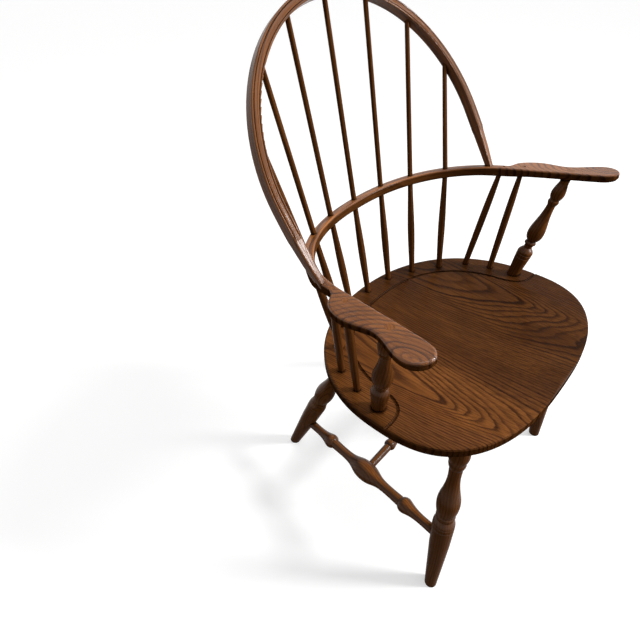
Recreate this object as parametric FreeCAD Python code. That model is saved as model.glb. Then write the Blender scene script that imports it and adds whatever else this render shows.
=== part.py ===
import math
import os

import FreeCAD, Part

# Windsor armchair with a bow over a bent arm rail. Millimetres, front towards -Y, floor at z = 0.
# Everything is drawn with y = 0 at the foot of the middle spindle, and centred on the floor at the end.

# Seat: a saddled plank that rises a little towards the front
SEAT_WIDTH = 558.0
SEAT_BEHIND = 20.0  # from the foot of the middle spindle to the back edge
SEAT_AHEAD = 432.0  # from there to the front edge
SEAT_WIDEST = -235.0  # where along the seat it is widest
SEAT_BACK_CURVE = 2.15  # 2 is an ellipse, more is squarer
SEAT_FRONT_CURVE = 2.65
SEAT_THICKNESS = 38.0
SEAT_BACK_HEIGHT = 440.0  # top of the seat at the foot of the middle spindle
SEAT_TILT = 2.9  # degrees
SEAT_TOP_ROUND = 4.0
SEAT_BEVEL_IN = 24.0  # the undercut all round the lower edge
SEAT_BEVEL_UP = 17.0
SEAT_DECK = 67.0  # from the dish out to the seat's side
DISH_HALF_WIDTH = SEAT_WIDTH / 2 - SEAT_DECK
DISH_BACK = -33.0
DISH_REACH = 262.0  # how fast the dish runs out towards the front
DISH_CURVE = 2.3
DISH_DEPTH = 14.0
POMMEL_HEIGHT = 8.0
POMMEL_WIDTH = 62.0
GROOVE_RADIUS = 3.0
GROOVE_TURN = 21.0  # the bend where the groove turns out to the side
GROOVE_EXIT = -255.0  # where the groove leaves the seat at each side

# Arm rail: bent in one piece, its ends carved as hands
RAIL_HALF_SPAN = 270.0
RAIL_BACK = 42.0
RAIL_WIDEST = -190.0
RAIL_CURVE = 2.2
RAIL_WIDTH = 18.0
RAIL_THICKNESS = 18.0
RAIL_BACK_HEIGHT = 650.0  # top of the rail at the middle spindle
RAIL_TILT = 7.4
RAIL_ROUND = 3.5
RAIL_BEND_END = -142.0  # where the bend runs out into the hands
RAIL_STEPS = 8
HAND_EDGE = 10.0  # how far down the hands' edges stay upright before the undercut
HAND_UNDERCUT = 11.0
HAND_CARVED_FROM = 70.0  # how far ahead of the bend the undercut reaches its full depth
# The hand's outline from the inner end of the bend, round the tip, to the outer end of the bend.
# The first number is how far outside the rail's widest middle line the point lies.
HAND_INNER = [(-4, -194), (3, -232), (10, -272), (18, -311)]
HAND_TIP = [(27, -331), (41, -338), (56, -332), (66, -312)]
HAND_OUTER = [(60, -288), (49, -267), (41, -243), (43, -217), (44, -194), (36, -166), (22, -150)]

# Bow: its feet stand on the arm rail
BOW_FOOT_BACK = -105.0
BOW_FOOT_OUT = 5.0  # outside the rail's middle line
BOW_BELLY = 7.0  # how far the round top stands out over the feet at each side
BOW_LEAN = 34.0  # degrees back from upright
BOW_LEG = 120.0  # from the foot to where the round top starts
BOW_WIDTH = 16.0
BOW_DEPTH = 19.0
BOW_ROUND = 3.0
BOW_FOOT_STATIONS = [(84.0, 17.6, 20.6), (70.0, 16.4, 17.0), (32.0, 14.8, 15.0), (-16.0, 10.8, 11.6)]
BOW_TENON = 10.0
BEAD_WIDTH = 3.4  # from the bow's side to the scratched line beside it
BEAD_DEPTH = 1.2

# Long spindles: where each crosses the rail, its angle round the bow's top and where it stands on the seat
LONG_SPINDLES = {
    "middle": ((0.0, 0.0), (0.0, 0.0)),
    "inner": ((77.0, 20.5), (66.5, -6.5)),
    "outer": ((148.0, 42.5), (123.5, -32.0)),
    "end": ((211.0, 66.6), (174.5, -72.0)),
}
# Short spindles: the place in the rail and the place on the seat
SHORT_SPINDLES = {
    "rear": ((RAIL_HALF_SPAN - 6.0, -132.0), (SEAT_WIDTH / 2 - 57.0, -113.0)),
    "front": ((RAIL_HALF_SPAN + 8.0, -169.0), (SEAT_WIDTH / 2 - 39.0, -165.0)),
}
SPINDLE_AT_SEAT = 12.0
SPINDLE_SWELL = 15.0
SPINDLE_SWELL_AT = 0.45  # of the way from the seat to the rail
SPINDLE_AT_RAIL = 10.4
SPINDLE_AT_BOW = 8.6
SPINDLE_IN_SEAT = 24.0
SPINDLE_STATIONS = 8
SHORT_SWELL = 14.6
SHORT_TENON = 10.0

# Arm posts
POST_ON_SEAT = (SEAT_WIDTH / 2 - 31.5, -217.5)
POST_IN_ARM = (RAIL_HALF_SPAN + 22.0, -256.0)
POST_SEAT_TENON = 16.0
POST_ARM_TENON = 13.0
POST_IN_SEAT = 24.0
POST_AT_ARM = 15.6
POST_PATTERN = 244.9  # the length from seat to arm that the turning's distances are given for
# Turned profiles give the distance from the start, the diameter there and whether it is a corner
POST_TURNING = [
    (-14, 23.0, True),
    (0, 24.0, True),
    (45, 31.4, True),
    (46.5, 29.8, True),
    (48, 31.8, True),
    (53.5, 32.4, True),
    (55, 30.8, True),
    (56.5, 32.6, True),
    (61, 31.8, False),
    (66.5, 25.4, False),
    (70.5, 17.4, True),
    (76, 17.4, True),
    (79, 21.8, False),
    (81.5, 24.0, False),
    (84.5, 21.8, False),
    (86.5, 18.8, True),
    (88.5, 21.6, True),
    (96, 30.2, False),
    (106, 33.6, False),
    (120, 31.0, False),
    (142, 22.2, False),
    (160, 17.4, False),
    (171, 16.4, True),
    (175, 19.8, False),
    (178.5, 21.6, False),
    (182, 19.8, True),
    (184, 18.8, True),
    (190, 24.6, False),
    (197, 26.8, False),
    (207, 24.4, False),
    (218, 18.4, True),
]

# Legs: where each stands on the floor and where its axis meets the underside of the seat
FRONT_FOOT = (SEAT_WIDTH / 2 - 27.0, 46.0 - SEAT_AHEAD)
FRONT_TOP = (SEAT_WIDTH / 2 - 85.0, 79.5 - SEAT_AHEAD)
REAR_FOOT = (SEAT_WIDTH / 2 - 91.0, SEAT_BEHIND + 64.0)
REAR_TOP = (SEAT_WIDTH / 2 - 132.0, SEAT_BEHIND - 93.0)
LEG_TENON = 25.0
LEG_IN_SEAT = 24.0
LEG_AT_SEAT = 39.5
LEG_PATTERN = 402.0  # the height under the seat that the turning's distances are given for
LEG_TURNING = [
    (-14, 22.6, True),
    (2, 25.3, True),
    (140, 40.2, True),
    (195, 43.0, True),
    (196.5, 41.2, True),
    (198, 43.2, True),
    (205, 43.0, True),
    (206.5, 41.2, True),
    (208, 42.6, True),
    (214, 40.4, False),
    (219, 36.4, False),
    (222, 33.6, True),
    (226, 34.0, True),
    (228, 36.2, False),
    (230.5, 37.2, False),
    (233, 36.2, False),
    (235, 34.4, True),
    (241, 37.6, False),
    (253, 42.0, False),
    (267, 43.8, False),
    (282, 41.0, False),
    (300, 33.0, False),
    (320, 26.0, False),
    (344, 23.4, True),
    (361, 24.8, True),
    (365, 27.6, False),
    (370, 30.6, False),
    (375, 31.4, False),
    (378, 30.4, True),
    (383, 33.8, False),
    (389, 36.8, False),
    (396, 38.0, True),
]

# Stretchers: how far up each leg they enter, and turned profiles from the middle outwards
FRONT_STRETCHER_UP = 160.0
REAR_STRETCHER_UP = 121.5
STRETCHER_TENON = 14.0
STRETCHER_IN_LEG = 14.0
STRETCHER_SHOULDER = 8.0  # from the leg's axis; the shoulder is then scribed round the leg
SIDE_STRETCHER_END = 18.8
SIDE_SWELL = 44.5
SIDE_TURNING = [
    (0, SIDE_SWELL, False),
    (19, 40.0, False),
    (38, 27.4, False),
    (62, 21.5, False),
    (105, 22.6, True),
    (109, 29.6, False),
    (117, 33.4, False),
    (127, 29.0, False),
    (143, 21.8, False),
    (180, 19.6, False),
]
MEDIAL_TENON = 13.0
MEDIAL_IN_STRETCHER = 13.0
MEDIAL_SHOULDER = 12.0
MEDIAL_END = 17.0
MEDIAL_TURNING = [
    (0, 36.0, False),
    (20, 32.0, False),
    (44, 22.6, False),
    (74, 18.8, False),
    (95, 20.2, False),
    (107, 24.8, False),
    (114, 26.8, False),
    (118, 24.4, False),
    (120.5, 18.6, True),
]

FIT = 0.15  # all round between a tenon and its hole
SEATED = 0.1  # between a shoulder and the face that it stands on
ROUND_STEPS = 3  # levels that make up a rounded edge
BEND_FULLER = 0.06  # how much fuller a long spindle is at its bend, inside the rail
BOW_SOCKET_EASE = 0.3
BOW_SOCKET_REACH = 60.0

Vec = FreeCAD.Vector
SIDES = {"right": -1, "left": 1}  # the sitter's right is towards -X


# Small helpers
def along(start, end, distance):
    step = (end - start).normalize()
    return start + step * distance


def mirrored(point, side):
    return Vec(side * point.x, point.y, point.z)


def squircle(half_width, length, power, part):
    """Point on a quarter of a superellipse; part runs from 0 at its side to 1 at its end."""
    angle = part * math.pi / 2
    x = half_width * math.cos(angle) ** (2 / power)
    y = length * math.sin(angle) ** (2 / power)
    return x, y


def squircle_x(half_width, length, power, x):
    """How far along the superellipse lies at the given x."""
    return length * (1 - (abs(x) / half_width) ** power) ** (1 / power)


def spline(points, closed=False):
    curve = Part.BSplineCurve()
    curve.interpolate(points, PeriodicFlag=closed)
    return curve.toShape()


def rod(start, end, diameter):
    axis = end - start
    return Part.makeCylinder(diameter / 2, axis.Length, start, axis)


def turned(profile, start, end):
    """A piece turned on a lathe. The profile has (distance from start, diameter, is it a corner)."""
    points = [Vec(diameter / 2, 0, distance) for distance, diameter, corner in profile]
    corners = [i for i, station in enumerate(profile) if station[2]]
    edges = [Part.LineSegment(Vec(0, 0, points[0].z), points[0]).toShape()]
    for first, last in zip(corners, corners[1:]):
        run = points[first : last + 1]
        if len(run) == 2:
            edges.append(Part.LineSegment(run[0], run[1]).toShape())
        else:
            edges.append(spline(run))
    edges.append(Part.LineSegment(points[-1], Vec(0, 0, points[-1].z)).toShape())
    edges.append(Part.LineSegment(Vec(0, 0, points[-1].z), Vec(0, 0, points[0].z)).toShape())
    solid = Part.Face(Part.Wire(edges)).revolve(Vec(0, 0, 0), Vec(0, 0, 1), 360)
    solid.Placement = FreeCAD.Placement(start, FreeCAD.Rotation(Vec(0, 0, 1), end - start))
    return solid


def in_plane(shape, tilt, origin):
    """Move a shape drawn flat into the plane that rises towards the front by the given tilt."""
    shape = shape.copy()
    shape.rotate(Vec(0, 0, 0), Vec(1, 0, 0), -tilt)
    shape.translate(origin)
    return shape


# The bow's size follows from where its feet stand on the rail
BOW_FOOT_X = BOW_FOOT_OUT + squircle_x(
    RAIL_BACK - RAIL_WIDEST, RAIL_HALF_SPAN, RAIL_CURVE, BOW_FOOT_BACK - RAIL_WIDEST
)
BOW_RADIUS = BOW_FOOT_X + BOW_BELLY


# Places that several pieces share
def seat_point(x, y, down=0.0):
    """A point on the flat part of the seat's top, or so far below it."""
    return Vec(x, y, SEAT_BACK_HEIGHT - y * math.tan(math.radians(SEAT_TILT)) - down)


def rail_point(x, y, down=0.0):
    rise = (RAIL_BACK - y) * math.tan(math.radians(RAIL_TILT))
    return Vec(x, y, RAIL_BACK_HEIGHT + rise - down)


def on_rail(x, down=RAIL_THICKNESS / 2):
    """The middle of the rail at the given x."""
    y = RAIL_WIDEST + squircle_x(RAIL_HALF_SPAN, RAIL_BACK - RAIL_WIDEST, RAIL_CURVE, x)
    return rail_point(x, y, down)


def bow_point(across, up, forward=0.0):
    """A point in the leaning plane of the bow, or so far in front of it."""
    foot = rail_point(0, BOW_FOOT_BACK)
    lean = math.radians(BOW_LEAN)
    y = foot.y + up * math.sin(lean) - forward * math.cos(lean)
    z = foot.z + up * math.cos(lean) + forward * math.sin(lean)
    return Vec(across, y, z)


def on_bow(angle):
    """The middle of the bow at an angle round its top, in degrees from the middle spindle."""
    turn = math.radians(angle)
    return bow_point(BOW_RADIUS * math.sin(turn), BOW_LEG + BOW_RADIUS * math.cos(turn))


def leg_axis(side, front):
    foot = FRONT_FOOT if front else REAR_FOOT
    top = FRONT_TOP if front else REAR_TOP
    return (
        mirrored(Vec(foot[0], foot[1], 0), side),
        mirrored(seat_point(top[0], top[1], SEAT_THICKNESS), side),
    )


def leg_stretch():
    return (SEAT_BACK_HEIGHT - SEAT_THICKNESS) / LEG_PATTERN


def stretcher_joint(side, front):
    foot, top = leg_axis(side, front)
    up = FRONT_STRETCHER_UP if front else REAR_STRETCHER_UP
    return along(foot, top, up * leg_stretch())


def post_axis(side):
    return (
        mirrored(seat_point(*POST_ON_SEAT), side),
        mirrored(rail_point(*POST_IN_ARM), side),
    )


# Spindles
def spindle_path(kind, side):
    """The foot on the seat, the place in the rail and the end in the bow. They are sprung to fit."""
    (rail_x, bow_angle), foot = LONG_SPINDLES[kind]
    points = [seat_point(*foot), on_rail(rail_x), on_bow(bow_angle)]
    return [mirrored(point, side) for point in points]


def eased(part):
    """From 0 to 1 with a level start and end."""
    return part**2 * (3 - 2 * part)


def swelling_diameter(part):
    """A long spindle's diameter between the seat and the rail."""
    if part < SPINDLE_SWELL_AT:
        return SPINDLE_AT_SEAT + (SPINDLE_SWELL - SPINDLE_AT_SEAT) * eased(part / SPINDLE_SWELL_AT)
    past = (part - SPINDLE_SWELL_AT) / (1 - SPINDLE_SWELL_AT)
    return SPINDLE_SWELL + (SPINDLE_AT_RAIL - SPINDLE_SWELL) * eased(past)


def long_spindle(kind, side):
    """Straight up to the rail and straight on to the bow, with the slight bend inside the rail."""
    foot, rail, bow = spindle_path(kind, side)
    length = (rail - foot).Length
    profile = [(-SPINDLE_IN_SEAT, SPINDLE_AT_SEAT, True), (0, SPINDLE_AT_SEAT, True)]
    for step in range(1, SPINDLE_STATIONS):
        part = step / SPINDLE_STATIONS
        profile.append((length * part, swelling_diameter(part), False))
    profile.append((length, SPINDLE_AT_RAIL, True))
    above = [(0, SPINDLE_AT_RAIL, True), ((bow - rail).Length, SPINDLE_AT_BOW, True)]
    bend = Part.makeSphere(SPINDLE_AT_RAIL / 2 + BEND_FULLER, rail)
    return turned(profile, foot, rail).fuse([turned(above, rail, bow), bend])


def short_spindle_axis(kind, side):
    (rail_x, rail_y), foot = SHORT_SPINDLES[kind]
    return mirrored(seat_point(*foot), side), mirrored(rail_point(rail_x, rail_y), side)


def short_spindle(kind, side):
    foot, top = short_spindle_axis(kind, side)
    length = (top - foot).Length
    profile = [
        (-SPINDLE_IN_SEAT, SPINDLE_AT_SEAT, True),
        (0, SPINDLE_AT_SEAT, True),
        (length * 0.3, SHORT_SWELL * 0.97, False),
        (length * 0.5, SHORT_SWELL, False),
        (length * 0.72, SHORT_SWELL * 0.92, False),
        (length - RAIL_THICKNESS - 6, SHORT_TENON, True),
        (length, SHORT_TENON, True),
    ]
    return turned(profile, foot, top).cut(above_rail())


# Half spaces that trim a piece flush with a face
def above_rail():
    block = Part.makeBox(900, 900, 60, Vec(-450, -600, 0))
    return in_plane(block, RAIL_TILT, rail_point(0, RAIL_BACK))


def inside_seat(gap):
    block = Part.makeBox(900, 900, SEAT_THICKNESS + 2 * gap, Vec(-450, -600, -SEAT_THICKNESS - gap))
    return in_plane(block, SEAT_TILT, seat_point(0, 0))


def floor_block():
    return Part.makeBox(2000, 2000, 100, Vec(-1000, -1000, -100))


# Seat
def seat_ring(inset, down):
    """The seat's outline, pulled in by inset, as one closed curve."""
    points = []
    half = SEAT_WIDTH / 2 - inset
    quarter = 8
    for step in range(quarter):
        x, y = squircle(half, SEAT_BEHIND - SEAT_WIDEST - inset, SEAT_BACK_CURVE, step / quarter)
        points.append(Vec(x, SEAT_WIDEST + y, -down))
    left = [Vec(-p.x, p.y, p.z) for p in reversed(points)]
    points.append(Vec(0, SEAT_BEHIND - inset, -down))
    points += left
    front = []
    for step in range(1, quarter):
        x, y = squircle(half, SEAT_WIDEST + SEAT_AHEAD - inset, SEAT_FRONT_CURVE, step / quarter)
        front.append(Vec(-x, SEAT_WIDEST - y, -down))
    points += front
    points.append(Vec(0, -SEAT_AHEAD + inset, -down))
    points += [Vec(-p.x, p.y, p.z) for p in reversed(front)]
    return Part.Wire(spline(points, closed=True))


def seat_dish():
    """The hollow that is cut into the seat, as the solid above a smooth surface."""
    rows = []
    for i in range(17):
        x = -320 + 40 * i
        row = []
        for j in range(15):
            y = -490 + 40 * j
            ahead = DISH_BACK - SEAT_WIDEST if y > SEAT_WIDEST else DISH_REACH
            reach = (abs(x) / DISH_HALF_WIDTH) ** DISH_CURVE
            reach += (abs(y - SEAT_WIDEST) / ahead) ** DISH_CURVE
            pommel = 1 / (1 + math.exp((y + 350) / 30))
            rise = POMMEL_HEIGHT * math.exp(-((x / POMMEL_WIDTH) ** 2)) * pommel
            row.append(Vec(x, y, -DISH_DEPTH * (1 - reach) + rise))
        rows.append(row)
    surface = Part.BSplineSurface()
    surface.interpolate(rows)
    return surface.toShape().extrude(Vec(0, 0, 120))


def seat_groove():
    """The round-bottomed groove that parts the spindle deck from the saddle."""
    points = []
    for step in range(1, 8):
        x, y = squircle(DISH_HALF_WIDTH + 2, DISH_BACK - SEAT_WIDEST, DISH_CURVE, step / 8)
        points.append(Vec(x, SEAT_WIDEST + y, 0))
    left = [Vec(-p.x, p.y, 0) for p in reversed(points)]
    turn = GROOVE_TURN
    side = [
        Vec(SEAT_WIDTH / 2 + 12, GROOVE_EXIT + 3, 0),
        Vec(DISH_HALF_WIDTH + turn * 2, GROOVE_EXIT, 0),
        Vec(DISH_HALF_WIDTH + turn, GROOVE_EXIT + turn * 0.33, 0),
        Vec(DISH_HALF_WIDTH + turn * 0.26, GROOVE_EXIT + turn * 1.43, 0),
    ]
    middle = [Vec(0, DISH_BACK, 0)]
    path = side + points + middle + left + [Vec(-p.x, p.y, 0) for p in reversed(side)]
    curve = Part.BSplineCurve()
    curve.interpolate(path)
    start = curve.value(curve.FirstParameter)
    section = Part.Wire(Part.makeCircle(GROOVE_RADIUS, start, curve.tangent(curve.FirstParameter)[0]))
    return Part.Wire(curve.toShape()).makePipeShell([section], True, False)


def seat():
    bevel = SEAT_THICKNESS - SEAT_BEVEL_UP
    levels = [
        (SEAT_TOP_ROUND, 0),
        (SEAT_TOP_ROUND * 0.3, SEAT_TOP_ROUND * 0.3),
        (0, SEAT_TOP_ROUND),
        (0, bevel - 3),
        (2, bevel),
        (SEAT_BEVEL_IN, SEAT_THICKNESS),
    ]
    plank = Part.makeLoft([seat_ring(inset, down) for inset, down in levels], True, True)
    plank = plank.cut(seat_dish()).cut(seat_groove())
    plank = in_plane(plank, SEAT_TILT, seat_point(0, 0))
    return plank.cut(Part.makeCompound(seat_sockets()))


def seat_sockets():
    holes = []
    for side in SIDES.values():
        for front in (True, False):
            foot, top = leg_axis(side, front)
            end = along(top, foot, -LEG_IN_SEAT - FIT)
            holes.append(rod(along(top, foot, 30), end, LEG_TENON + 2 * FIT))
        for kind in SHORT_SPINDLES:
            foot, top = short_spindle_axis(kind, side)
            bottom = along(foot, top, -SPINDLE_IN_SEAT - FIT)
            holes.append(rod(bottom, along(foot, top, 20), SPINDLE_AT_SEAT + 2 * FIT))
        for kind in LONG_SPINDLES:
            if kind == "middle" and side < 0:
                continue
            foot, rail, bow = spindle_path(kind, side)
            bottom = along(foot, rail, -SPINDLE_IN_SEAT - FIT)
            holes.append(rod(bottom, along(foot, rail, 10), SPINDLE_AT_SEAT + 2 * FIT))
        foot, top = post_axis(side)
        bottom = along(foot, top, -POST_IN_SEAT - FIT)
        holes.append(rod(bottom, along(foot, top, 20), POST_SEAT_TENON + 2 * FIT))
    return holes


# Legs
def leg_turning(side, front, fuller=0.0):
    """The leg as it comes off the lathe, too long at both ends, and fuller by so much if asked."""
    foot, top = leg_axis(side, front)
    profile = []
    for up, diameter, corner in LEG_TURNING:
        profile.append((up * leg_stretch(), diameter + fuller, corner))
    profile.append(((top - foot).Length + 30, LEG_AT_SEAT + fuller, True))
    return turned(profile, foot, top)


def leg(side, front):
    foot, top = leg_axis(side, front)
    body = leg_turning(side, front).cut(floor_block()).cut(inside_seat(SEATED))
    body = max(body.Solids, key=lambda solid: solid.Volume)
    tenon = rod(along(top, foot, 20), along(top, foot, -LEG_IN_SEAT), LEG_TENON)
    body = body.fuse(tenon).removeSplitter()
    return body.cut(stretcher_socket(side, front))


# Stretchers
def stretcher_socket(side, front):
    joint = stretcher_joint(side, front)
    other = stretcher_joint(side, not front)
    bottom = along(joint, other, -STRETCHER_IN_LEG / 2 - FIT)
    return rod(bottom, along(joint, other, 40), STRETCHER_TENON + 2 * FIT)


def turned_both_ways(stations, end, start, finish, fuller=0.0):
    """A piece with the same turning on both sides of its middle, between two points."""
    half = (finish - start).Length / 2
    stations = stations + [(half - end[0], end[1], True)]
    near = [(half - out, diameter + fuller, corner) for out, diameter, corner in reversed(stations[1:])]
    far = [(half + out, diameter + fuller, corner) for out, diameter, corner in stations]
    return turned(near + far, start, finish)


def side_stretcher_turning(side, fuller=0.0):
    end = (STRETCHER_SHOULDER, SIDE_STRETCHER_END)
    front = stretcher_joint(side, True)
    rear = stretcher_joint(side, False)
    return turned_both_ways(SIDE_TURNING, end, front, rear, fuller)


def side_stretcher(side):
    body = side_stretcher_turning(side)
    for front in (True, False):
        body = body.cut(leg_turning(side, front, 2 * SEATED))
    body = max(body.Solids, key=lambda solid: solid.Volume)
    front = stretcher_joint(side, True)
    rear = stretcher_joint(side, False)
    inset = -STRETCHER_IN_LEG / 2
    tenon = rod(along(front, rear, inset), along(rear, front, inset), STRETCHER_TENON)
    body = body.fuse(tenon).removeSplitter()
    return body.cut(medial_socket(side))


def medial_ends():
    middles = []
    for side in SIDES.values():
        middles.append((stretcher_joint(side, True) + stretcher_joint(side, False)) * 0.5)
    return middles


def medial_socket(side):
    right, left = medial_ends()
    near, far = (right, left) if side < 0 else (left, right)
    bottom = along(near, far, SIDE_SWELL / 2 - MEDIAL_IN_STRETCHER - FIT)
    return rod(bottom, along(near, far, SIDE_SWELL / 2 + 8), MEDIAL_TENON + 2 * FIT)


def medial_stretcher():
    right, left = medial_ends()
    body = turned_both_ways(MEDIAL_TURNING, (MEDIAL_SHOULDER, MEDIAL_END), right, left)
    for side in SIDES.values():
        body = body.cut(side_stretcher_turning(side, 2 * SEATED))
    body = max(body.Solids, key=lambda solid: solid.Volume)
    reach = SIDE_SWELL / 2 - MEDIAL_IN_STRETCHER
    tenon = rod(along(right, left, reach), along(left, right, reach), MEDIAL_TENON)
    return body.fuse(tenon).removeSplitter()


# Arm posts
def arm_post(side):
    foot, top = post_axis(side)
    length = (top - foot).Length
    profile = [(up * length / POST_PATTERN, diameter, corner) for up, diameter, corner in POST_TURNING]
    profile.append((length, POST_AT_ARM, True))
    body = turned(profile, foot, top).cut(above_arm_underside()).cut(inside_seat(SEATED))
    body = max(body.Solids, key=lambda solid: solid.Volume)
    low = rod(along(foot, top, -POST_IN_SEAT), along(foot, top, 20), POST_SEAT_TENON)
    high = rod(along(top, foot, RAIL_THICKNESS + 20), along(top, foot, -20), POST_ARM_TENON)
    return body.fuse([low, high.cut(above_rail())]).removeSplitter()


def above_arm_underside():
    block = Part.makeBox(900, 900, 90, Vec(-450, -600, -RAIL_THICKNESS - SEATED))
    return in_plane(block, RAIL_TILT, rail_point(0, RAIL_BACK))


# Arm rail
def rail_bend(offset):
    """The bend's edge, so far outside its middle line, from the left end round the back to the right."""
    length = RAIL_BACK - RAIL_WIDEST
    end = (RAIL_BEND_END - RAIL_WIDEST) / length
    first = math.asin(end ** (RAIL_CURVE / 2)) / (math.pi / 2)
    points = []
    for step in range(RAIL_STEPS):
        part = first + (1 - first) * step / RAIL_STEPS
        x, y = squircle(RAIL_HALF_SPAN, length, RAIL_CURVE, part)
        across = (x / RAIL_HALF_SPAN) ** (RAIL_CURVE - 1) / RAIL_HALF_SPAN
        back = (y / length) ** (RAIL_CURVE - 1) / length
        scale = offset / math.hypot(across, back)
        points.append(Vec(x + across * scale, RAIL_WIDEST + y + back * scale, 0))
    right = [mirrored(point, -1) for point in reversed(points)]
    return points + [Vec(0, RAIL_BACK + offset, 0)] + right


def rail_outline():
    """The rail and its hands seen from above, all the way round against the clock."""
    hand = [Vec(RAIL_HALF_SPAN + out, y, 0) for out, y in HAND_INNER + HAND_TIP + HAND_OUTER]
    other = [mirrored(point, -1) for point in reversed(hand)]
    return rail_bend(RAIL_WIDTH / 2) + other + rail_bend(-RAIL_WIDTH / 2)[::-1] + hand


def rail_ring(down, inset, undercut):
    """The outline at one level, pulled in by inset, and by the undercut too along the hands."""
    outline = rail_outline()
    ring = []
    for i, point in enumerate(outline):
        ahead = outline[(i + 1) % len(outline)] - outline[i - 1]
        inward = Vec(-ahead.y, ahead.x, 0).normalize()
        carved = min(max((RAIL_BEND_END - point.y) / HAND_CARVED_FROM, 0), 1)
        ring.append(point + inward * (inset + undercut * eased(carved)) - Vec(0, RAIL_BACK, down))
    return Part.Wire(spline(ring, closed=True))


def arm_rail():
    levels = []
    for step in range(ROUND_STEPS + 1):
        angle = math.pi / 2 * step / ROUND_STEPS
        levels.append((RAIL_ROUND * (1 - math.cos(angle)), RAIL_ROUND * (1 - math.sin(angle)), 0))
    levels.append((HAND_EDGE, 0, 0))
    for step in range(ROUND_STEPS + 1):
        angle = math.pi / 2 * step / ROUND_STEPS
        down = RAIL_THICKNESS - RAIL_ROUND * (1 - math.sin(angle))
        under = (down - HAND_EDGE) / (RAIL_THICKNESS - HAND_EDGE)
        levels.append((down, RAIL_ROUND * (1 - math.cos(angle)), HAND_UNDERCUT * under**2))
    blank = Part.makeLoft([rail_ring(*level) for level in levels], True, True)
    blank = in_plane(blank, RAIL_TILT, rail_point(0, RAIL_BACK))
    return blank.cut(Part.makeCompound(rail_holes()))


def rail_holes():
    holes = []
    for side in SIDES.values():
        for kind in LONG_SPINDLES:
            if kind == "middle" and side < 0:
                continue
            foot, rail, bow = spindle_path(kind, side)
            bend = (rail - foot).getAngle(bow - rail)
            width = SPINDLE_AT_RAIL + 2 * (FIT + BEND_FULLER) + RAIL_THICKNESS / 2 * math.tan(bend / 2)
            low = along(rail, foot, RAIL_THICKNESS / 4)
            high = along(rail, bow, RAIL_THICKNESS / 4)
            holes.append(rod(along(low, high, -30), along(high, low, -30), width))
        for kind in SHORT_SPINDLES:
            foot, top = short_spindle_axis(kind, side)
            holes.append(rod(along(top, foot, 60), along(top, foot, -20), SHORT_TENON + 2 * FIT))
        foot, top = post_axis(side)
        holes.append(rod(along(top, foot, 60), along(top, foot, -20), POST_ARM_TENON + 2 * FIT))
        holes.append(bow_tenon(side, FIT))
    return holes


# Bow, drawn flat around the middle of its round top: x across, y up its plane, z forward
def bow_leg_radius():
    sag = BOW_RADIUS - BOW_FOOT_X
    return (BOW_LEG**2 + sag**2) / (2 * sag)


def bow_leg_across(up):
    """How far out the bow's leg stands at a given height above its foot."""
    radius = bow_leg_radius()
    return BOW_RADIUS - radius + math.sqrt(radius**2 - (BOW_LEG - up) ** 2)


def bow_section():
    """The beaded section, where the left leg meets the round top."""
    half = BOW_WIDTH / 2
    front = BOW_DEPTH / 2
    groove = half - BEAD_WIDTH
    flat = groove - BEAD_DEPTH
    swell = front - BEAD_DEPTH
    corner = BOW_ROUND * (1 - math.sqrt(0.5))
    right = [
        (Vec(half, 0, -front + BOW_ROUND), None),
        (Vec(half, 0, front - BOW_ROUND), None),
        (Vec(groove, 0, swell), Vec(half - BEAD_WIDTH * 0.4, 0, front)),
        (Vec(flat, 0, front - 0.1), Vec(groove - BEAD_DEPTH * 0.7, 0, front - BEAD_DEPTH * 0.3)),
    ]
    edges = []
    for side in SIDES.values():
        spots = [(mirrored(end, side), middle and mirrored(middle, side)) for end, middle in right]
        for (start, _), (end, middle) in zip(spots, spots[1:]):
            if middle:
                edges.append(Part.Arc(start, middle, end).toShape())
            else:
                edges.append(Part.LineSegment(start, end).toShape())
        back = mirrored(Vec(half - BOW_ROUND, 0, -front), side)
        turn = mirrored(Vec(half - corner, 0, -front + corner), side)
        edges.append(Part.Arc(back, turn, spots[0][0]).toShape())
    face_edge = Vec(flat, 0, front - 0.1)
    edges.append(Part.Arc(mirrored(face_edge, -1), Vec(0, 0, front + 0.4), face_edge).toShape())
    edges.append(Part.LineSegment(Vec(BOW_ROUND - half, 0, -front), Vec(half - BOW_ROUND, 0, -front)).toShape())
    face = Part.Face(Part.Wire(Part.sortEdges(edges)[0]))
    face.translate(Vec(BOW_RADIUS, 0, 0))
    return face


def whittled_foot():
    """The rounded, tapering block that the bow's left foot is cut down to."""
    rings = []
    for up, width, depth in BOW_FOOT_STATIONS:
        block = Part.makeBox(width, 1, depth, Vec(-width / 2, 0, -depth / 2))
        upright = [edge for edge in block.Edges if edge.BoundBox.YLength > 0.5]
        block = block.makeFillet(BOW_ROUND, upright)
        face = min(block.Faces, key=lambda each: each.CenterOfMass.y)
        face.translate(Vec(bow_leg_across(up), up - BOW_LEG, 0))
        rings.append(face.OuterWire)
    return Part.makeLoft(rings, True, True)


def stand_bow(shape):
    """Lean a shape that was drawn flat back into the bow's plane."""
    turn = FreeCAD.Rotation(Vec(1, 0, 0), 90 - BOW_LEAN)
    shape = shape.copy()
    shape.Placement = FreeCAD.Placement(bow_point(0, BOW_LEG), turn)
    return shape


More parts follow.
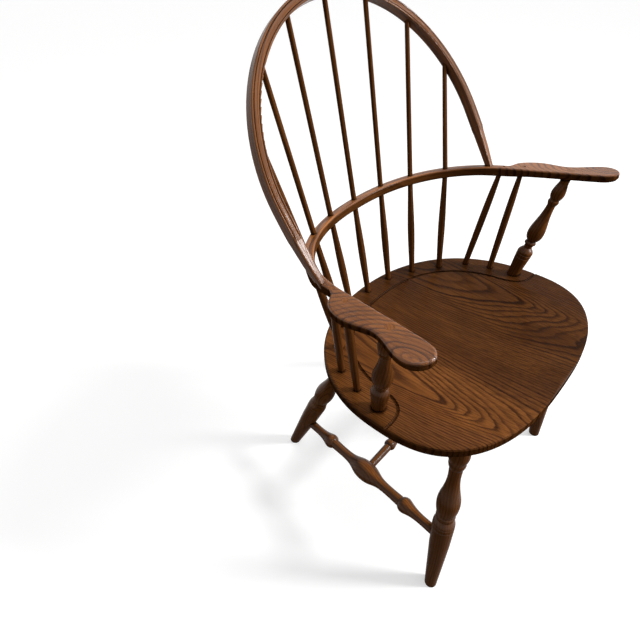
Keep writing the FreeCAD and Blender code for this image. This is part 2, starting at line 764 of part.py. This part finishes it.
def bow_blank():
    section = bow_section()
    radius = bow_leg_radius()
    centre = Vec(BOW_RADIUS - radius, 0, 0)
    whittle = math.degrees(math.asin((BOW_LEG - BOW_FOOT_STATIONS[0][0]) / radius))
    end = math.degrees(math.asin((BOW_LEG - BOW_FOOT_STATIONS[-1][0] - 1) / radius))
    arch = section.revolve(Vec(0, 0, 0), Vec(0, 0, 1), 180)
    leg_part = section.revolve(centre, Vec(0, 0, 1), -whittle)
    low = section.copy()
    low.rotate(centre, Vec(0, 0, 1), -whittle)
    foot = low.revolve(centre, Vec(0, 0, 1), whittle - end).common(whittled_foot())
    leg_and_foot = leg_part.fuse(foot)
    other = leg_and_foot.mirror(Vec(0, 0, 0), Vec(1, 0, 0))
    return stand_bow(arch.fuse([leg_and_foot, other]).removeSplitter())


def bow_tenon(side, gap):
    foot = bow_point(side * BOW_FOOT_X, 0)
    above = bow_point(side * bow_leg_across(30), 30)
    return rod(along(foot, above, -RAIL_THICKNESS - 16), along(foot, above, 20), BOW_TENON + 2 * gap)


def bow():
    body = bow_blank().cut(in_rail_block())
    body = max(body.Solids, key=lambda solid: solid.Volume)
    tenons = [bow_tenon(side, 0).cut(below_rail()) for side in SIDES.values()]
    body = body.fuse(tenons).removeSplitter()
    holes = []
    for side in SIDES.values():
        for kind in LONG_SPINDLES:
            if kind == "middle" and side < 0:
                continue
            holes.append(bow_socket(kind, side))
    return body.cut(Part.makeCompound(holes))


def in_rail_block():
    """Everything up to the rail's top, with a hair's gap."""
    block = Part.makeBox(900, 900, 60, Vec(-450, -600, -60 + SEATED))
    return in_plane(block, RAIL_TILT, rail_point(0, RAIL_BACK))


def below_rail():
    block = Part.makeBox(900, 900, 60, Vec(-450, -600, -60 - RAIL_THICKNESS))
    return in_plane(block, RAIL_TILT, rail_point(0, RAIL_BACK))


def bow_socket(kind, side):
    foot, rail, bow = spindle_path(kind, side)
    bottom = along(bow, rail, BOW_SOCKET_REACH)
    return rod(bottom, along(bow, rail, -FIT), SPINDLE_AT_BOW + 2 * FIT + BOW_SOCKET_EASE)


# All nodes
def nodes():
    made = {"seat": seat(), "arm_rail": arm_rail(), "bow": bow(), "medial_stretcher": medial_stretcher()}
    made["middle_spindle"] = long_spindle("middle", 1)
    for name, side in SIDES.items():
        made[f"front_{name}_leg"] = leg(side, True)
        made[f"rear_{name}_leg"] = leg(side, False)
        made[f"{name}_side_stretcher"] = side_stretcher(side)
        made[f"{name}_arm_post"] = arm_post(side)
        for kind in ("inner", "outer", "end"):
            made[f"{name}_{kind}_spindle"] = long_spindle(kind, side)
        for kind in SHORT_SPINDLES:
            made[f"{name}_{kind}_short_spindle"] = short_spindle(kind, side)
    return made


def main():
    os.makedirs("parts", exist_ok=True)
    made = nodes()
    box = FreeCAD.BoundBox()
    for shape in made.values():
        box.add(shape.optimalBoundingBox(True, False))
    centring = Vec(0, -(box.YMin + box.YMax) / 2, 0)
    for name, shape in made.items():
        shape.translate(centring)
        shape.exportStep(f"parts/{name}.step")
        print(name, len(shape.Solids), round(shape.Volume), shape.isValid())
    size = [round(length, 1) for length in (box.XLength, box.YLength, box.ZLength)]
    print("size", size, "moved", round(centring.y, 2))


main()
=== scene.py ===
"""Looks of the windsor armchair: stained oak, soft studio light and the photograph's camera. Metres."""

import math
from collections import namedtuple

import bpy
from mathutils import Matrix, Vector

# Where the part's source moves its drawing so that the chair stands centred on the floor
SHIFT = Vector((0, 0.1546, 0))

# Camera
CAMERA_PLACE = Vector((-0.6767, -0.508, 1.1079)) + SHIFT
CAMERA_YAW = 45.663
CAMERA_PITCH = 41.696
CAMERA_ROLL = -2.682
FOCAL_PIXELS = 481.0
IMAGE_PIXELS = 640.0
SENSOR_WIDTH = 36.0
NEAREST_SEEN = 0.05

# Floor
FLOOR_SIZE = 60.0
FLOOR_ROUGHNESS = 0.9
FLOOR_REFLECTION = 0.1
FLOOR_SEEN = (0.60, 0.60, 0.60, 1)
FLOOR_GLOW = 0.50  # added to what is seen of the floor, so that it stays pale far away
FLOOR_BOUNCE = (0.28, 0.28, 0.28, 1)  # what the floor gives back to the undersides

# Light
AMBIENT = 0.34  # what the surroundings give to the object
WALLS = 1.0  # how bright the surroundings look, low down
CEILING = 0.75  # and overhead
WALLS_END = (0.18, 0.50)  # over which height the one turns into the other, from level at 0 to overhead at 1
KEY_DIRECTION = (-0.45, 0.10, -1.0)
KEY_SPREAD = math.radians(60)
KEY_STRENGTH = 1.5
WINDOW_PLACE = Vector((1.65, -2.2, 1.75))
WINDOW_TARGET = Vector((0, 0, 0.65))
WINDOW_SIZE = 0.6
WINDOW_POWER = 115

# Bends that the grain follows
RAIL_HALF_SPAN = 0.270
RAIL_REACH = 0.232
RAIL_CENTRE_Y = -0.190
RAIL_TILT = math.radians(7.4)
BOW_RADIUS = 0.268
BOW_CENTRE = Vector((0, -0.0379, 0.7685))
BOW_LEAN = math.radians(34)
BOW_PITH = Vector((0.05, 0.02, 0))

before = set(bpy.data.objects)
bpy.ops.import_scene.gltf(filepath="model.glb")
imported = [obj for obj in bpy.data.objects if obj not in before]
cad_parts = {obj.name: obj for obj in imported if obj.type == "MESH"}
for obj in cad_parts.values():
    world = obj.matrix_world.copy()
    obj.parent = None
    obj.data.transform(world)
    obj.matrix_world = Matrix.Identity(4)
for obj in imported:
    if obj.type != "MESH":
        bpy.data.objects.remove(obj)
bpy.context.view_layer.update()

# Where a mix of colours keeps its sockets, among those for numbers and vectors
COLOUR_MIX_INPUTS = (0, 6, 7)
COLOUR_MIX_OUTPUT = 2


# Small helpers for shader nodes
class Graph:
    """Adds nodes to a node tree and joins them by value."""

    def __init__(self, tree):
        self.tree = tree

    def node(self, kind, **settings):
        made = self.tree.nodes.new(kind)
        for name, value in settings.items():
            setattr(made, name, value)
        return made

    def feed(self, socket, value):
        if isinstance(value, bpy.types.NodeSocket):
            self.tree.links.new(value, socket)
        elif value is not None:
            socket.default_value = value

    def math(self, operation, first, second=None, third=None):
        made = self.node("ShaderNodeMath", operation=operation)
        for socket, value in zip(made.inputs, (first, second, third)):
            self.feed(socket, value)
        return made.outputs[0]

    def vector(self, operation, first, second=None):
        made = self.node("ShaderNodeVectorMath", operation=operation)
        self.feed(made.inputs[0], first)
        self.feed(made.inputs[1], second)
        return made.outputs[0]

    def split(self, vector):
        made = self.node("ShaderNodeSeparateXYZ")
        self.feed(made.inputs[0], vector)
        return made.outputs

    def join(self, x, y, z):
        made = self.node("ShaderNodeCombineXYZ")
        for socket, value in zip(made.inputs, (x, y, z)):
            self.feed(socket, value)
        return made.outputs[0]

    def mapped(self, vector, place=(0, 0, 0), turn=(0, 0, 0), scale=(1, 1, 1)):
        made = self.node("ShaderNodeMapping")
        self.feed(made.inputs["Vector"], vector)
        made.inputs["Location"].default_value = place
        made.inputs["Rotation"].default_value = turn
        made.inputs["Scale"].default_value = scale
        return made.outputs[0]

    def noise(self, vector, scale, detail=2.0, rough=0.5):
        made = self.node("ShaderNodeTexNoise")
        self.feed(made.inputs["Vector"], self.mapped(vector, scale=scale))
        made.inputs["Scale"].default_value = 1.0
        made.inputs["Detail"].default_value = detail
        made.inputs["Roughness"].default_value = rough
        return made.outputs[0]

    def ranged(self, value, low, high, to_low=0.0, to_high=1.0):
        made = self.node("ShaderNodeMapRange", interpolation_type="SMOOTHSTEP")
        self.feed(made.inputs["Value"], value)
        made.inputs["From Min"].default_value = low
        made.inputs["From Max"].default_value = high
        made.inputs["To Min"].default_value = to_low
        made.inputs["To Max"].default_value = to_high
        return made.outputs["Result"]

    def mixed(self, part, first, second):
        made = self.node("ShaderNodeMix", data_type="RGBA")
        part_at, first_at, second_at = COLOUR_MIX_INPUTS
        self.feed(made.inputs[part_at], part)
        self.feed(made.inputs[first_at], first)
        self.feed(made.inputs[second_at], second)
        return made.outputs[COLOUR_MIX_OUTPUT]


# Oak
STAIN_LIGHT = (0.128, 0.043, 0.0100, 1)
STAIN_WARM = (0.200, 0.070, 0.0165, 1)
STAIN_DARK = (0.030, 0.0085, 0.0026, 1)
PORE_COLOUR = (0.008, 0.0025, 0.001, 1)

# A yearly ring, from 0 at its start to 1: where its dark porous band comes up and where it has gone
BAND_UP = (0.0, 0.10)
BAND_GONE = (0.60, 0.16)
WEAKEST_YEAR = 0.45  # how strong the weakest band is, against 1 for the strongest
BAND_STAIN = 0.9
BAND_DEPTH = 0.35  # against 1 for a pore

# Streaks, fibres and clouds: how fine they are across the grain, twice, and along it
STREAK_SCALE = (900, 900, 26)
STREAK_DETAIL = (3.0, 0.6)
FIBRE_SCALE = (420, 420, 14)
CLOUD_SCALE = (14, 14, 5)

PORES_FROM = (0.50, 0.62)
PORES_OFF_BAND = 0.25  # how many pores lie outside the bands, against 1 in them
PORE_STAIN = 0.75
PORE_ROUGHNESS = 0.2  # added in the pores
FIBRE_DARK = (0.40, 0.66)
FIBRE_STAIN = 0.45
CLOUD_WARM = (0.35, 0.65)
CLOUD_ROUGH = (0.3, 0.7)
ROUGHNESS = (0.22, 0.32)

# Use and shade: rubbed edges, painted shade in the hollows and the relief of the pores
RUBBED_EDGES = (0.53, 0.62)
RUBBED_PART = 0.2
# Painted shade: the wood is darkened where the hollows are hidden from the light all round
HOLLOW_REACH = 0.007
HOLLOW_SAMPLES = 6
HOLLOW_OPENNESS = (0.93, 0.50)
HOLLOW_SHADE_PART = 0.92
RELIEF_DEPTH = 0.0003
RELIEF_STRENGTH = 0.5

# How a straight piece's rings lie: their spacing and how they stray, each a noise's scale and its size
RING_SPACING = 0.0045
LOG_STRAYS = (((9, 9, 2.2), 0.030), ((70, 70, 9), 0.0022))

# The seat's figure: a broad arched figure in each half, with straight grain between them
SEAT_FIGURE_AT = 0.168
SEAT_FIGURE_WIDTH = 0.085
SEAT_FIGURE_DEPTH = 0.026
SEAT_FIGURE_OUTWARD = 1.5  # how much closer the rings lie on its outer side
SEAT_LEFT_TAPER = 0.22
SEAT_RIGHT_TAPER = 0.16
SEAT_RIGHT_AHEAD = 0.016
SEAT_WIDE_RINGS = 72.0  # rings in a metre, in the arched figure
SEAT_FINE_RINGS = 210.0  # and in the straight grain, from so far out
SEAT_FINE_FROM = 0.086
SEAT_STRAYS = (((9, 9, 4), 0.018), ((40, 40, 13), 0.0045), ((240, 240, 50), 0.0008))
# The seat lighter on its right side: partly the boards' own tone, partly painted light falling off across
# it
SEAT_TONES_AND_LIGHT_AT = (-0.22, 0.06)
SEAT_TONES_AND_LIGHT = (1.36, 0.64)  # the right side and the rest
# Painted shade: the deck darker along its right edge
SEAT_EDGE_SHADE_AT = (-0.27, -0.21)
SEAT_EDGE_PAINTED_SHADE = (0.75, 1.0)  # the right edge and inside it

# The hands' figure: ovals round a place near the tip, so far outside and so far along the rail
HAND_FIGURE_AT = 0.056
HAND_FIGURE_ALONG = 0.545
HAND_FIGURE_ACROSS = 1.25
HAND_FIGURE_LENGTHWAYS = 0.66
HAND_FIGURE_REACH = 0.20
HAND_RING_SPACING = 0.0085
HAND_STRAYS = (((30, 30, 16), 0.009), ((140, 140, 60), 0.0012))


def oak_group():
    """Wood seen in its own coordinates: x and y across the log, z along the grain.

    Rings counts the yearly rings: each begins at a whole number, with a dark porous band.
    """
    tree = bpy.data.node_groups.new("stained_oak", "ShaderNodeTree")
    tree.interface.new_socket("Wood", in_out="INPUT", socket_type="NodeSocketVector")
    tree.interface.new_socket("Rings", in_out="INPUT", socket_type="NodeSocketFloat")
    tree.interface.new_socket("Colour", in_out="OUTPUT", socket_type="NodeSocketColor")
    tree.interface.new_socket("Roughness", in_out="OUTPUT", socket_type="NodeSocketFloat")
    tree.interface.new_socket("Height", in_out="OUTPUT", socket_type="NodeSocketFloat")
    g = Graph(tree)
    wood, rings = g.node("NodeGroupInput").outputs[:2]

    ring = g.math("FRACT", rings)
    year = g.node("ShaderNodeTexWhiteNoise", noise_dimensions="1D")
    g.feed(year.inputs["W"], g.math("FLOOR", rings))
    strength = g.math("MULTIPLY_ADD", year.outputs["Value"], 1.0 - WEAKEST_YEAR, WEAKEST_YEAR)
    band = g.math("MULTIPLY", g.ranged(ring, *BAND_UP), g.ranged(ring, *BAND_GONE))
    band = g.math("MULTIPLY", band, strength)

    streak = g.noise(wood, STREAK_SCALE, *STREAK_DETAIL)
    porous = g.math("MULTIPLY_ADD", band, 1.0 - PORES_OFF_BAND, PORES_OFF_BAND)
    pores = g.math("MULTIPLY", g.ranged(streak, *PORES_FROM), porous)
    fibre = g.noise(wood, FIBRE_SCALE)
    cloud = g.noise(wood, CLOUD_SCALE)

    late = g.mixed(g.ranged(cloud, *CLOUD_WARM), STAIN_LIGHT, STAIN_WARM)
    base = g.mixed(g.math("MULTIPLY", band, BAND_STAIN), late, STAIN_DARK)
    base = g.mixed(g.ranged(fibre, *FIBRE_DARK, 0.0, FIBRE_STAIN), base, STAIN_DARK)
    colour = g.mixed(g.math("MULTIPLY", pores, PORE_STAIN), base, PORE_COLOUR)
    rough = g.math("MULTIPLY_ADD", pores, PORE_ROUGHNESS, g.ranged(cloud, *CLOUD_ROUGH, *ROUGHNESS))
    height = g.math("MULTIPLY_ADD", pores, -1.0, g.math("MULTIPLY", band, -BAND_DEPTH))

    out = g.node("NodeGroupOutput")
    g.feed(out.inputs["Colour"], colour)
    g.feed(out.inputs["Roughness"], rough)
    g.feed(out.inputs["Height"], height)
    return tree


OAK = oak_group()


# How each piece is finished and lit: how calm its figure is, how glossy its sides and its top are, and how
# light they are painted: its own tone, with painted shade on the sides and painted light on the top. The
# painted light turns from the side's to the top's over how far a face looks up, from side_at to top_at.
Finish = namedtuple("Finish", "calm side_gloss top_gloss side_shade top_shade side_at top_at")
FINISHES_AND_LIGHT = {
    # The seat's sides and edges are painted dark, as painted shade
    "seat": Finish(
        calm=0.0, side_gloss=0.0, top_gloss=0.035, side_shade=0.32, top_shade=0.84, side_at=0.1, top_at=0.75
    ),
    # The hands' tops are painted light, as a painted sheen, and their sides dark, as painted shade
    "arm_rail": Finish(
        calm=0.0, side_gloss=0.0, top_gloss=0.38, side_shade=0.45, top_shade=1.85, side_at=0.0, top_at=0.9
    ),
    "bow": Finish(
        calm=0.3, side_gloss=0.14, top_gloss=0.20, side_shade=1.1, top_shade=1.3, side_at=0.0, top_at=0.9
    ),
}
# Turned pieces: their ends that look up are painted light
TURNED_FINISH_AND_LIGHT = Finish(
    calm=0.45, side_gloss=0.005, top_gloss=0.20, side_shade=0.72, top_shade=1.7, side_at=0.88, top_at=0.97
)
GLOSS_AT = (0.20, 0.60)  # over how far a face looks up the gloss turns from the side's to the top's


def rubbed_edges(g):
    pointed = g.node("ShaderNodeNewGeometry").outputs["Pointiness"]
    return g.ranged(pointed, *RUBBED_EDGES, 0.0, RUBBED_PART)


# Painted shade: darker where ambient occlusion finds a hollow
def painted_shade_in_hollows(g):
    hollow = g.node("ShaderNodeAmbientOcclusion", samples=HOLLOW_SAMPLES)
    hollow.inputs["Distance"].default_value = HOLLOW_REACH
    return g.ranged(hollow.outputs["AO"], *HOLLOW_OPENNESS, 0.0, HOLLOW_SHADE_PART)


def relief(g, height):
    bump = g.node("ShaderNodeBump")
    bump.inputs["Distance"].default_value = RELIEF_DEPTH
    bump.inputs["Strength"].default_value = RELIEF_STRENGTH
    g.feed(bump.inputs["Height"], height)
    return bump.outputs[0]


def oak_material(name, grain, finish_and_light):
    """A material whose wood coordinates, rings and tone come from a function of the graph and the place.

    The seat's tone is partly painted light. The material paints shade in the hollows, and paints light and
    shade by how far each face looks up.
    """
    material = bpy.data.materials.new(name)
    material.use_nodes = True
    g = Graph(material.node_tree)
    shader = material.node_tree.nodes["Principled BSDF"]
    place = g.node("ShaderNodeTexCoord").outputs
    wood, rings, board_tone_and_light = grain(g, place["Object"])
    oak = g.node("ShaderNodeGroup", node_tree=OAK)
    g.feed(oak.inputs["Wood"], wood)
    g.feed(oak.inputs["Rings"], rings)

    colour = g.mixed(finish_and_light.calm, oak.outputs["Colour"], STAIN_LIGHT)
    colour = g.mixed(rubbed_edges(g), colour, STAIN_WARM)
    # Painted shade in the hollows, in the pores' colour
    hollow_shade = painted_shade_in_hollows(g)
    colour = g.mixed(hollow_shade, colour, PORE_COLOUR)
    # Painted light and shade: lighter on faces that look up and darker on the sides, times the seat's tone
    upward = g.split(place["Normal"])[2]
    tone_with_painted_light = g.ranged(upward, finish_and_light.side_at, finish_and_light.top_at, finish_and_light.side_shade, finish_and_light.top_shade)
    if board_tone_and_light is not None:
        tone_with_painted_light = g.math("MULTIPLY", board_tone_and_light, tone_with_painted_light)
    tint = g.node("ShaderNodeHueSaturation")
    g.feed(tint.inputs["Value"], tone_with_painted_light)
    g.feed(tint.inputs["Color"], colour)

    gloss = g.ranged(upward, *GLOSS_AT, finish_and_light.side_gloss, finish_and_light.top_gloss)
    # Less gloss where the hollows are painted dark
    gloss = g.math("MULTIPLY", gloss, g.math("SUBTRACT", 1.0, hollow_shade))
    g.feed(shader.inputs["Base Color"], tint.outputs[0])
    g.feed(shader.inputs["Roughness"], oak.outputs["Roughness"])
    g.feed(shader.inputs["Specular IOR Level"], gloss)
    g.feed(shader.inputs["Normal"], relief(g, oak.outputs["Height"]))
    return material


def strayed(g, radius, wood, strays):
    """A radius that strays: each stray is a noise's scale and the whole size that it moves by."""
    for scale, size in strays:
        swing = g.math("SUBTRACT", g.noise(wood, scale), 0.5)
        radius = g.math("ADD", radius, g.math("MULTIPLY", swing, size))
    return radius


def length_of(g, first, second):
    squares = g.math("ADD", g.math("MULTIPLY", first, first), g.math("MULTIPLY", second, second))
    return g.math("SQRT", squares)


def log_rings(g, wood):
    """Rings round the log's heart, a little out of true."""
    x, y, z = g.split(wood)
    radius = strayed(g, length_of(g, x, y), wood, LOG_STRAYS)
    return g.math("DIVIDE", radius, RING_SPACING)


def straight_grain(middle, along, pith):
    """Wood whose grain runs one way, with the log's heart off to one side."""
    turn = Vector(along).to_track_quat("Z", "Y").inverted()
    place = Vector(pith) - turn @ Vector(middle)

    def grain(g, point):
        wood = g.mapped(point, place=place, turn=turn.to_euler())
        return wood, log_rings(g, wood), None

    return grain


def bent_wood(g, across, ahead, up, half_span, reach):
    """Wood bent round an arch: how far outside its middle line, up, and along it from its top."""
    side = g.math("SIGN", across)
    x = g.math("ABSOLUTE", across)
    past = g.math("MULTIPLY", g.math("MAXIMUM", ahead, 0.0), half_span / reach)
    before = g.math("MINIMUM", ahead, 0.0)
    radius = length_of(g, x, past)
    turn = g.math("ARCTAN2", x, past)
    along = g.math("SUBTRACT", g.math("MULTIPLY", turn, half_span), before)
    out = g.math("SUBTRACT", radius, half_span)
    return out, g.join(out, up, g.math("MULTIPLY", along, side)), along


def rail_grain(g, point):
    flat = g.mapped(point, place=-(SHIFT + Vector((0, RAIL_CENTRE_Y, 0))))
    x, y, z = g.split(flat)
    level = g.math("MULTIPLY_ADD", y, math.tan(RAIL_TILT), z)
    out, wood, along = bent_wood(g, x, y, level, RAIL_HALF_SPAN, RAIL_REACH)
    aside = g.math("MULTIPLY", g.math("SUBTRACT", out, HAND_FIGURE_AT), HAND_FIGURE_ACROSS)
    back = g.math("ABSOLUTE", g.math("SUBTRACT", along, HAND_FIGURE_ALONG))
    back = g.math("MULTIPLY", g.math("MINIMUM", back, HAND_FIGURE_REACH), HAND_FIGURE_LENGTHWAYS)
    radius = strayed(g, length_of(g, aside, back), wood, HAND_STRAYS)
    return wood, g.math("DIVIDE", radius, HAND_RING_SPACING), None


def bow_grain(g, point):
    turn = Matrix.Rotation(math.radians(90) - BOW_LEAN, 3, "X").inverted()
    place = -(turn @ (BOW_CENTRE + SHIFT))
    flat = g.mapped(point, place=place, turn=turn.to_euler())
    x, y, z = g.split(flat)
    wood = bent_wood(g, x, y, z, BOW_RADIUS, BOW_RADIUS)[1]
    wood = g.vector("ADD", wood, BOW_PITH)
    return wood, log_rings(g, wood), None


def seat_grain(g, point):
    flat = g.mapped(point, place=-SHIFT)
    x, y, z = g.split(flat)
    wood = g.join(x, z, y)
    right = g.math("LESS_THAN", x, 0.0)
    centre = g.math("SUBTRACT", g.math("ABSOLUTE", x), SEAT_FIGURE_AT)
    away = g.math("DIVIDE", centre, SEAT_FIGURE_WIDTH)
    near = g.math("EXPONENT", g.math("MULTIPLY", g.math("MULTIPLY", away, away), -1.0))
    taper = g.math("MULTIPLY_ADD", right, SEAT_LEFT_TAPER - SEAT_RIGHT_TAPER, -SEAT_LEFT_TAPER)
    taper = g.math("MULTIPLY", g.math("MULTIPLY", y, near), taper)
    centre = g.math("MAXIMUM", centre, g.math("MULTIPLY", centre, SEAT_FIGURE_OUTWARD))
    radius = g.math("ADD", length_of(g, centre, SEAT_FIGURE_DEPTH), taper)
    radius = strayed(g, g.math("MULTIPLY_ADD", right, SEAT_RIGHT_AHEAD, radius), wood, SEAT_STRAYS)
    fine = g.math("MAXIMUM", g.math("SUBTRACT", radius, SEAT_FINE_FROM), 0.0)
    fine = g.math("MULTIPLY", fine, SEAT_FINE_RINGS - SEAT_WIDE_RINGS)
    # Its tone: lighter on the right side, partly the boards' own tone and partly painted light
    board_tone_and_light = g.ranged(x, *SEAT_TONES_AND_LIGHT_AT, *SEAT_TONES_AND_LIGHT)
    # Painted shade along the deck's right edge
    board_tone_and_light = g.math("MULTIPLY", board_tone_and_light, g.ranged(x, *SEAT_EDGE_SHADE_AT, *SEAT_EDGE_PAINTED_SHADE))
    return wood, g.math("MULTIPLY_ADD", radius, SEAT_WIDE_RINGS, fine), board_tone_and_light


# Which way each paired straight piece runs on the left, from its foot to its top
PAIRED = {
    "front_leg": ((0.252, -0.386, 0), (0.194, -0.3525, 0.42)),
    "rear_leg": ((0.188, 0.084, 0), (0.147, -0.073, 0.405)),
    "side_stretcher": ((0.2299, -0.3731, 0.158), (0.1769, 0.0415, 0.1086)),
    "arm_post": ((0.2475, -0.2175, 0.451), (0.292, -0.256, 0.689)),
    "inner_spindle": ((0.0665, -0.0065, 0.44), (0.094, 0.1, 0.96)),
    "outer_spindle": ((0.1235, -0.032, 0.442), (0.181, 0.067, 0.918)),
    "end_spindle": ((0.1745, -0.072, 0.443), (0.246, -0.011, 0.84)),
    "rear_short_spindle": ((0.222, -0.113, 0.446), (0.264, -0.132, 0.672)),
    "front_short_spindle": ((0.24, -0.165, 0.448), (0.278, -0.169, 0.677)),
}

# The straight pieces in the middle: a place in each, which way it runs and how far off the log's heart is
MIDDLE = {
    "middle_spindle": ((0, 0.2, 0.7), (0, 0.21, 0.98), (0.03, 0.01, 0)),
    "medial_stretcher": ((0, 0, 0.13), (1, 0, 0), (0.04, 0.01, 0.2)),
}
SHAPED = {"seat": seat_grain, "arm_rail": rail_grain, "bow": bow_grain}

# How far the log's heart lies from a paired piece, across, aside and along. It steps on from each piece
# to the next, and across and aside it starts again after so many pieces.
HEART_NEAREST = 0.02
HEART_STEPS = (0.011, 0.013, 0.37)
HEART_TURNS = (5, 3)


def ends_of(name):
    """Where a paired piece starts and ends. The right side mirrors the left."""
    foot, top = (Vector(end) for end in PAIRED[name.replace("right_", "").replace("left_", "")])
    if "right" in name:
        foot.x = -foot.x
        top.x = -top.x
    return foot + SHIFT, top + SHIFT


def grain_of(name, order):
    """A piece's grain, from its name and its place in the order of all names."""
    if name in SHAPED:
        return SHAPED[name]
    if name in MIDDLE:
        return straight_grain(*MIDDLE[name])
    foot, top = ends_of(name)
    across = HEART_NEAREST + HEART_STEPS[0] * (order % HEART_TURNS[0])
    aside = HEART_STEPS[1] * (order % HEART_TURNS[1])
    return straight_grain(foot, top - foot, (across, aside, HEART_STEPS[2] * order))


def give_materials():
    for order, (name, piece) in enumerate(sorted(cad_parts.items())):
        finish_and_light = FINISHES_AND_LIGHT.get(name, TURNED_FINISH_AND_LIGHT)
        material = oak_material(f"oak_{name}", grain_of(name, order), finish_and_light)
        piece.data.materials.clear()
        piece.data.materials.append(material)


give_materials()


# Floor, light and camera
def seen_directly(g):
    """1 for what the camera sees, also in a reflection or through glass, and 0 for the light given off."""
    path = g.node("ShaderNodeLightPath").outputs
    seen = g.math("MAXIMUM", path["Is Camera Ray"], path["Is Glossy Ray"])
    return g.math("MAXIMUM", seen, path["Is Transmission Ray"])


def floor():
    bpy.ops.mesh.primitive_plane_add(size=FLOOR_SIZE, location=(0, 0, 0))
    plane = bpy.context.object
    plane.name = "floor"
    material = bpy.data.materials.new("pale_floor")
    material.use_nodes = True
    g = Graph(material.node_tree)
    shader = material.node_tree.nodes["Principled BSDF"]
    seen = seen_directly(g)
    g.feed(shader.inputs["Base Color"], g.mixed(seen, FLOOR_BOUNCE, FLOOR_SEEN))
    g.feed(shader.inputs["Emission Strength"], g.math("MULTIPLY", seen, FLOOR_GLOW))
    shader.inputs["Roughness"].default_value = FLOOR_ROUGHNESS
    shader.inputs["Specular IOR Level"].default_value = FLOOR_REFLECTION
    plane.data.materials.append(material)


def hang(lamp, place, direction):
    holder = bpy.data.objects.new(lamp.name, lamp)
    holder.location = place
    holder.rotation_euler = Vector(direction).to_track_quat("-Z", "Y").to_euler()
    bpy.context.scene.collection.objects.link(holder)


def key_light():
    lamp = bpy.data.lights.new("key", "SUN")
    lamp.angle = KEY_SPREAD
    lamp.energy = KEY_STRENGTH
    hang(lamp, (0, 0, 0), KEY_DIRECTION)


def window_light():
    lamp = bpy.data.lights.new("window", "AREA")
    lamp.shape = "DISK"
    lamp.size = WINDOW_SIZE
    lamp.energy = WINDOW_POWER
    hang(lamp, WINDOW_PLACE, WINDOW_TARGET - WINDOW_PLACE)


def background():
    """White walls and a light grey ceiling where they are seen, and the same soft light from all round."""
    world = bpy.data.worlds.new("studio")
    world.use_nodes = True
    bpy.context.scene.world = world
    g = Graph(world.node_tree)
    height = g.split(g.node("ShaderNodeTexCoord").outputs["Generated"])[2]
    wall = g.ranged(height, *WALLS_END, WALLS, CEILING)
    seen = seen_directly(g)
    given = g.math("MULTIPLY", g.math("SUBTRACT", 1.0, seen), AMBIENT)
    lit = world.node_tree.nodes["Background"]
    lit.inputs["Color"].default_value = (1, 1, 1, 1)
    g.feed(lit.inputs["Strength"], g.math("MULTIPLY_ADD", wall, seen, given))


def camera():
    yaw = math.radians(CAMERA_YAW)
    pitch = math.radians(CAMERA_PITCH)
    roll = math.radians(CAMERA_ROLL)
    ahead = Vector((math.sin(yaw) * math.cos(pitch), math.cos(yaw) * math.cos(pitch), -math.sin(pitch)))
    level = Vector((math.cos(yaw), -math.sin(yaw), 0))
    above = level.cross(ahead)
    right = math.cos(roll) * level + math.sin(roll) * above
    up = math.cos(roll) * above - math.sin(roll) * level
    lens = bpy.data.cameras.new("camera")
    lens.sensor_width = SENSOR_WIDTH
    lens.lens = FOCAL_PIXELS / IMAGE_PIXELS * SENSOR_WIDTH
    lens.clip_start = NEAREST_SEEN
    holder = bpy.data.objects.new("camera", lens)
    turn = Matrix((right, up, -ahead)).transposed().to_4x4()
    holder.matrix_world = Matrix.Translation(CAMERA_PLACE) @ turn
    bpy.context.scene.collection.objects.link(holder)
    bpy.context.scene.camera = holder


floor()
key_light()
window_light()
background()
camera()
bpy.context.scene.view_settings.view_transform = "Standard"
